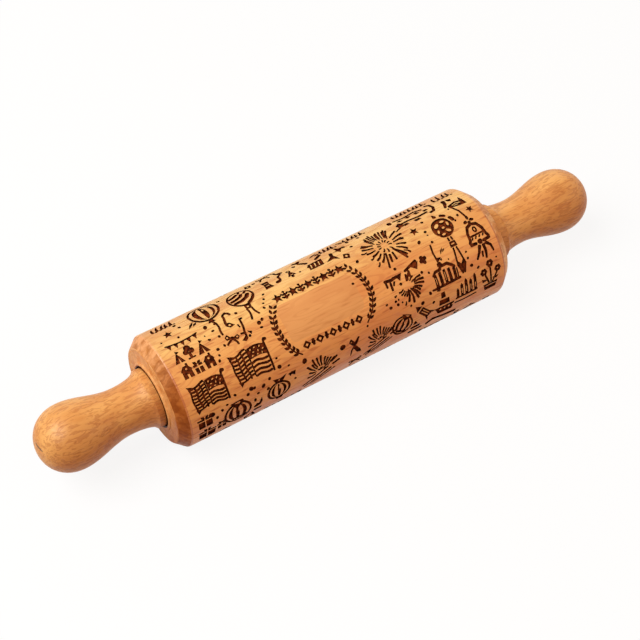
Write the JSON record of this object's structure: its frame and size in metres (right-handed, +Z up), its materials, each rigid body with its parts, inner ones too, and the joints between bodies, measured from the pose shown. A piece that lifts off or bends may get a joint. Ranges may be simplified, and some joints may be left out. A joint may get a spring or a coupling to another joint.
{
  "type": "rolling pin",
  "caption": "Beech rolling pin whose engraved roller turns on an inner axle between two turned bulb handles.",
  "frame": {"origin": "middle of the axle, which is the middle of the whole pin", "axes": "+X along the axle towards the right handle, +Z up from the worktop that the roller lies on"},
  "size_m": [0.2974, 0.055, 0.055],
  "materials": {
    "roller_beech": "oiled, laser engraved",
    "handle_beech": "oiled",
    "axle_steel": "drawn",
    "bush_nylon": "moulded",
    "washer_acetal": "punched"
  },
  "bodies": {
    "handles": {"axle_rod": "axle_steel", "handle_left": "handle_beech", "handle_right": "handle_beech", "thrust_washer_left": "washer_acetal", "thrust_washer_right": "washer_acetal"},
    "roller": {"roller": "roller_beech", "bushing_left": "bush_nylon", "bushing_right": "bush_nylon"}
  },
  "joints": [
    {"name": "roller_spin", "type": "hinge", "parent": "handles", "child": "roller", "pos_m": [0, 0, 0], "axis": [1, 0, 0], "continuous": true}
  ]
}
